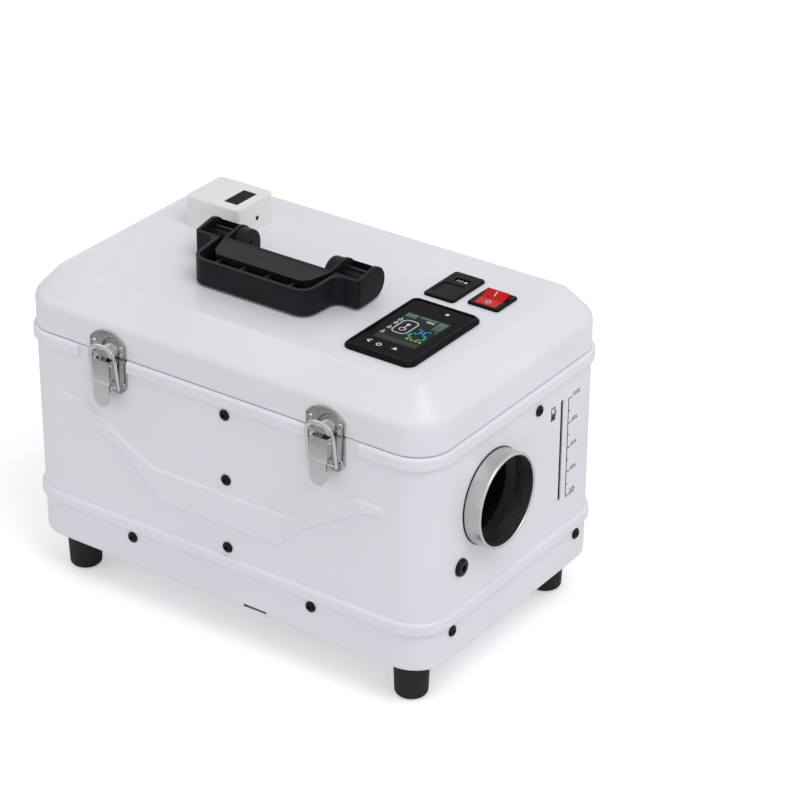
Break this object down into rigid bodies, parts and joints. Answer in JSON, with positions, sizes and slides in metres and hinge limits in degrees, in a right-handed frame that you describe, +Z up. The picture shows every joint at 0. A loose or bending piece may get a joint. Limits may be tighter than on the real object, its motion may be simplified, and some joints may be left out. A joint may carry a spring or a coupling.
{
  "type": "diesel air heater",
  "caption": "Portable diesel air heater in a white toolbox case with folding handle, toggle latches, lid controls and round hot air outlet.",
  "frame": {"origin": "on the ground under the centre of the overall bounding box, feet at z = 0", "axes": "+X towards the hot air outlet, -Y towards the latches and the user, +Z up"},
  "size_m": [0.4255, 0.2716, 0.3086],
  "materials": {
    "white_steel": "satin powder coat",
    "white_plastic": "fine textured",
    "black_plastic": "satin moulded",
    "black_glass": "gloss",
    "display": "gloss",
    "board_green": "solder mask",
    "red_plastic": "gloss",
    "rubber": "matt",
    "nickel": "nickel plated",
    "stainless": "stainless, satin",
    "zinc_steel": "zinc plated",
    "black_screw": "black oxide",
    "cast_aluminium": "as cast",
    "tank_plastic": "translucent natural",
    "clear_plastic": "clear",
    "brass": "turned"
  },
  "bodies": {
    "case": {"base_pan": "white_steel", "case_body": "white_steel", "base_pan_screws": "black_screw", "feet": "rubber", "foot_screws": "zinc_steel", "panel_screws": "black_screw", "front_stay": "zinc_steel", "side_plug": "black_screw", "tank_bracket": "zinc_steel", "hinge_body_leaves": "nickel", "hinge_pins": "zinc_steel", "body_rivets": "nickel", "latch_bases": "nickel", "outlet_collar": "stainless", "collar_gasket": "rubber", "inlet_guard": "black_plastic", "heater_lower_shell": "black_plastic", "heater_upper_shell": "black_plastic", "heat_exchanger": "cast_aluminium", "burner": "stainless", "glow_plug": "zinc_steel", "blower_motor": "zinc_steel", "control_unit": "black_plastic", "heater_shelf": "zinc_steel", "heater_gasket": "rubber", "exhaust_stub": "stainless", "intake_stub": "zinc_steel", "fuel_tank": "tank_plastic", "tank_outlet": "brass", "sight_window": "clear_plastic", "fuel_pump": "zinc_steel", "pump_clamp": "rubber", "fuel_lines": "rubber", "power_gland": "black_plastic"},
    "lid": {"lid_shell": "white_steel", "hinge_lid_leaves": "nickel", "lid_rivets": "nickel", "latch_keepers": "nickel", "handle_brackets": "black_plastic", "handle_pins": "zinc_steel", "handle_screws": "zinc_steel", "controller_housing": "black_plastic", "controller_glass": "black_glass", "controller_display": "display", "controller_board": "board_green", "usb_plate": "black_plastic", "usb_socket": "black_plastic", "switch_body": "black_plastic", "alarm_housing": "white_plastic", "alarm_window": "black_glass"},
    "handle_grip": {"handle": "black_plastic"},
    "rocker_paddle": {"rocker": "red_plastic"},
    "lever_left": {"latch_lever_left": "nickel"},
    "lever_right": {"latch_lever_right": "nickel"},
    "bail_left": {"latch_bail_left": "nickel"},
    "bail_right": {"latch_bail_right": "nickel"},
    "rotor": {"blower_shaft": "zinc_steel", "air_impeller": "black_plastic", "combustion_wheel": "black_plastic"},
    "tank_cap": {"fuel_cap": "black_plastic"}
  },
  "joints": [
    {"name": "lid_hinge", "type": "hinge", "parent": "case", "child": "lid", "pos_m": [-0.00275, 0.1324, 0.229], "axis": [-1, 0, 0], "range_deg": [0, 95]},
    {"name": "handle_fold", "type": "hinge", "parent": "lid", "child": "handle_grip", "pos_m": [-0.01525, -0.0071, 0.2951], "axis": [-1, 0, 0], "range_deg": [0, 95]},
    {"name": "power_rocker", "type": "hinge", "parent": "lid", "child": "rocker_paddle", "pos_m": [0.13975, 0.0484, 0.2758], "axis": [-1, 0, 0], "range_deg": [0, 24]},
    {"name": "latch_lever_left", "type": "hinge", "parent": "case", "child": "lever_left", "pos_m": [-0.10975, -0.1316, 0.2235], "axis": [-1, 0, 0], "range_deg": [0, 115]},
    {"name": "latch_lever_right", "type": "hinge", "parent": "case", "child": "lever_right", "pos_m": [0.10425, -0.1316, 0.2235], "axis": [-1, 0, 0], "range_deg": [0, 115]},
    {"name": "latch_bail_left", "type": "hinge", "parent": "lever_left", "child": "bail_left", "pos_m": [-0.10975, -0.1296, 0.2035], "axis": [-1, 0, 0], "range_deg": [-138, 0]},
    {"name": "latch_bail_right", "type": "hinge", "parent": "lever_right", "child": "bail_right", "pos_m": [0.10425, -0.1296, 0.2035], "axis": [-1, 0, 0], "range_deg": [-138, 0]},
    {"name": "blower_spin", "type": "hinge", "parent": "case", "child": "rotor", "pos_m": [-0.07275, -0.0356, 0.162], "axis": [1, 0, 0], "continuous": true},
    {"name": "fuel_cap_lift", "type": "slide", "parent": "case", "child": "tank_cap", "axis": [0, 0, 1], "range_m": [0, 0.04]}
  ],
  "couplings": [
    {"joint": "latch_bail_left", "follows": "latch_lever_left", "ratio": -1.2},
    {"joint": "latch_bail_right", "follows": "latch_lever_right", "ratio": -1.2}
  ]
}
